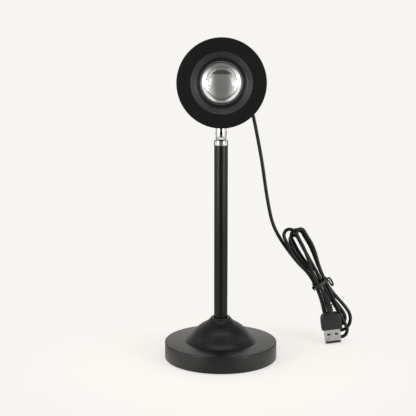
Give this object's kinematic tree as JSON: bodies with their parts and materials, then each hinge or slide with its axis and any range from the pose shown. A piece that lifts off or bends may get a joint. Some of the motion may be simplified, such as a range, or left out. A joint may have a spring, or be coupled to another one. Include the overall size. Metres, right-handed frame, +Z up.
{
  "type": "sunset projection lamp",
  "caption": "Projection lamp with a weighted round base, dome cover, slim pole, tilting round head with a ball lens, and a tied hank of cord ending in a USB plug.",
  "frame": {"origin": "centre of the foot pad's resting face", "axes": "+Z up along the pole; the lens looks along -Y; +X to the right as seen from the front"},
  "size_m": [0.1428, 0.083, 0.2263],
  "materials": {
    "black_powder_coat": "satin black powder coat",
    "black_satin_paint": "satin black paint",
    "black_anodised": "matte black anodised",
    "dark_anodised_ring": "satin dark anodised",
    "chrome": "polished",
    "zinc_steel": "zinc plated",
    "cast_iron": "as cast",
    "foot_foam": "matte",
    "clear_glass": "polished",
    "filter_glass": "dichroic coating",
    "white_plastic": "gloss",
    "black_plastic": "matte",
    "board_aluminium": "white solder mask",
    "board_green": "solder mask",
    "chip_phosphor": "silicone",
    "chip_black": "matte",
    "window_dark": "gloss dark infrared plastic",
    "brass": "turned",
    "cord_pvc": "satin PVC",
    "plug_black": "moulded PVC",
    "plug_steel": "nickel plated",
    "gold_contact": "gold flashed"
  },
  "bodies": {
    "stand": {"foot_pad": "foot_foam", "base_shell": "black_powder_coat", "base_weight": "cast_iron", "base_washer": "zinc_steel", "lock_washer": "zinc_steel", "base_nut": "zinc_steel", "pole_nipple": "zinc_steel", "dome_cover": "black_powder_coat", "pole_tube": "black_satin_paint", "swivel_collar": "chrome"},
    "swivel": {"swivel_stem": "chrome", "swivel_keeper": "zinc_steel", "keeper_screw": "zinc_steel", "hinge_pin": "zinc_steel", "cord_drop": "cord_pvc", "cord_hank": "cord_pvc", "cord_tie": "black_plastic", "plug_boot": "plug_black", "plug_grip": "plug_black", "plug_shell": "plug_steel", "plug_tongue": "white_plastic", "plug_contacts": "gold_contact"},
    "head": {"hinge_bracket": "black_satin_paint", "bracket_screws": "zinc_steel", "head_housing": "black_anodised", "front_bezel": "black_anodised", "bevel_ring": "dark_anodised_ring", "ball_lens": "clear_glass", "lens_clamp": "black_plastic", "lens_spacer": "black_plastic", "filter_disc": "filter_glass", "light_cup": "white_plastic", "lamp_board": "board_aluminium", "lamp_chip": "chip_phosphor", "board_screws": "zinc_steel", "rear_cover": "black_plastic", "cover_screws": "zinc_steel", "receiver_window": "window_dark", "receiver_eye": "chip_black", "control_board": "board_green", "control_spacers": "brass", "control_chip": "chip_black", "cord_gland": "plug_black"}
  },
  "joints": [
    {"name": "pan", "type": "hinge", "parent": "stand", "child": "swivel", "pos_m": [0, 0, 0.1566], "axis": [0, 0, 1], "range_deg": [-170, 170]},
    {"name": "tilt", "type": "hinge", "parent": "swivel", "child": "head", "pos_m": [0, 0, 0.1609], "axis": [1, 0, 0], "range_deg": [-90, 80], "deforming": ["cord_drop"]}
  ]
}
